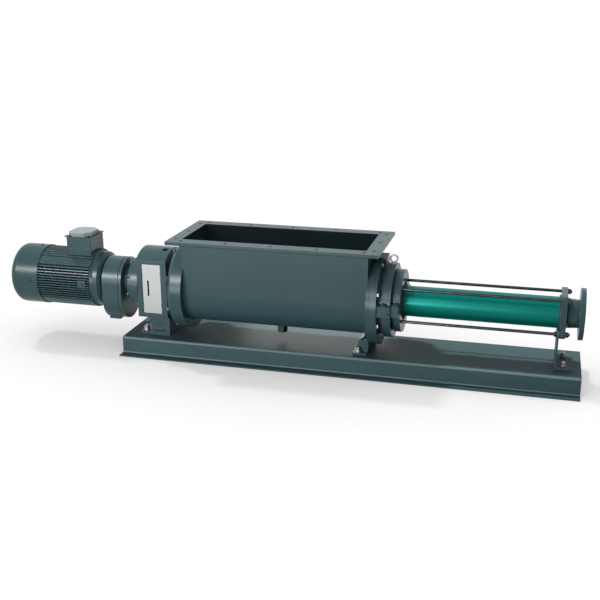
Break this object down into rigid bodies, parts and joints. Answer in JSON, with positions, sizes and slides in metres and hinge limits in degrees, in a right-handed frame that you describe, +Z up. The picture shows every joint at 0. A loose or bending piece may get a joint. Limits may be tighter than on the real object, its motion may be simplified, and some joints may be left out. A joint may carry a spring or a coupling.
{
  "type": "progressive cavity pump",
  "caption": "Progressive cavity pump with an open rectangular feed hopper, screw conveyor, tie-rod stator, flanged discharge and close-coupled geared motor on a folded base.",
  "frame": {"origin": "on the floor, midway along the whole machine and under the pump's axis", "axes": "+X from the motor along the pump to the discharge flange, +Z up"},
  "size_m": [2.378, 0.3886, 0.507],
  "materials": {
    "machine_paint": "blue-green grey machine enamel",
    "tube_paint": "green enamel on the stator tube",
    "guard_sheet": "light grey coated sheet guard",
    "zinc_steel": "zinc plated screws and rods",
    "machined_steel": "turned and ground steel",
    "stainless_screw": "stainless steel feed screw",
    "hard_chrome": "hard chromed rotor",
    "black_rubber": "black moulded rubber",
    "gear_steel": "case hardened gear steel",
    "bearing_steel": "polished bearing steel",
    "core_steel": "stacked electrical sheet",
    "winding_copper": "varnished copper winding",
    "fan_plastic": "black moulded fan plastic",
    "gland_plastic": "dark grey gland plastic",
    "block_plastic": "brown moulded terminal block",
    "seal_carbide": "dark carbide seal face",
    "lid_paint": "grey enamel on the terminal box lid"
  },
  "bodies": {
    "frame": {"base_frame": "machine_paint", "lantern": "machine_paint", "lantern_guards": "guard_sheet", "lantern_foot": "machine_paint", "lantern_foot_bolts": "zinc_steel", "gearbox_housing": "machine_paint", "gearbox_cover": "machine_paint", "gearbox_flange_bolts": "zinc_steel", "gearbox_plugs": "zinc_steel", "gearbox_bearings": "bearing_steel", "motor_frame": "machine_paint", "fan_cover": "machine_paint", "fan_cover_screws": "zinc_steel", "motor_rear_shield": "machine_paint", "motor_drive_shield": "machine_paint", "motor_stator_core": "core_steel", "motor_windings": "winding_copper", "motor_bearings": "bearing_steel", "earth_bolt": "zinc_steel", "terminal_box": "machine_paint", "terminal_box_lid": "lid_paint", "terminal_block": "block_plastic", "cable_glands": "gland_plastic", "feed_hopper": "machine_paint", "drain_plug": "zinc_steel", "hopper_support": "machine_paint", "hopper_support_bolts": "zinc_steel", "seal_housing": "machine_paint", "seal_housing_bolts": "zinc_steel", "seal_seat": "seal_carbide", "stator_tube": "tube_paint", "stator_lining": "black_rubber", "stator_adaptor": "machine_paint", "adaptor_bolts": "zinc_steel", "lug_bolts": "zinc_steel", "lifting_eye": "zinc_steel", "end_piece": "machine_paint", "tie_rods": "zinc_steel", "tie_rod_nuts": "zinc_steel", "support_leg": "machine_paint", "support_leg_bolts": "zinc_steel"},
    "pump_shaft": {"gear_output_shaft": "machined_steel", "output_wheel": "gear_steel", "drive_shaft": "machined_steel", "coupling_pin": "machined_steel", "slinger_ring": "black_rubber", "seal_ring": "seal_carbide", "drive_joint_pin": "machined_steel", "drive_joint_boot": "black_rubber"},
    "countershaft_body": {"countershaft": "gear_steel", "countershaft_wheel": "gear_steel"},
    "motor_rotor": {"motor_shaft": "machined_steel", "motor_pinion": "gear_steel", "motor_rotor_core": "core_steel", "cooling_fan": "fan_plastic"},
    "joint_carrier": {"rotor_joint_sleeve": "black_rubber"},
    "pump_rotor": {"rotor": "hard_chrome", "rotor_joint_pin": "machined_steel"},
    "rod_body": {"coupling_rod": "machined_steel", "feed_screw": "stainless_screw"}
  },
  "joints": [
    {"name": "pump_shaft_spin", "type": "hinge", "parent": "frame", "child": "pump_shaft", "pos_m": [-0.329, 0, 0.277], "axis": [1, 0, 0], "continuous": true},
    {"name": "countershaft_spin", "type": "hinge", "parent": "frame", "child": "countershaft_body", "pos_m": [-0.727, 0, 0.21], "axis": [1, 0, 0], "continuous": true},
    {"name": "motor_spin", "type": "hinge", "parent": "frame", "child": "motor_rotor", "pos_m": [-0.937, 0, 0.277], "axis": [1, 0, 0], "continuous": true},
    {"name": "rotor_orbit", "type": "hinge", "parent": "frame", "child": "joint_carrier", "pos_m": [0.436, 0, 0.277], "axis": [1, 0, 0], "continuous": true},
    {"name": "rotor_spin", "type": "hinge", "parent": "joint_carrier", "child": "pump_rotor", "pos_m": [0.436, 0, 0.288], "axis": [1, 0, 0], "continuous": true},
    {"name": "rod_spin", "type": "hinge", "parent": "joint_carrier", "child": "rod_body", "pos_m": [-0.329, 0, 0.277], "axis": [0.9999, 0, 0.0144], "continuous": true}
  ],
  "couplings": [
    {"joint": "countershaft_spin", "follows": "pump_shaft_spin", "ratio": -2.9412},
    {"joint": "motor_spin", "follows": "pump_shaft_spin", "ratio": 10.196},
    {"joint": "rotor_orbit", "follows": "pump_shaft_spin", "ratio": -1},
    {"joint": "rotor_spin", "follows": "pump_shaft_spin", "ratio": 2},
    {"joint": "rod_spin", "follows": "pump_shaft_spin", "ratio": 2}
  ]
}
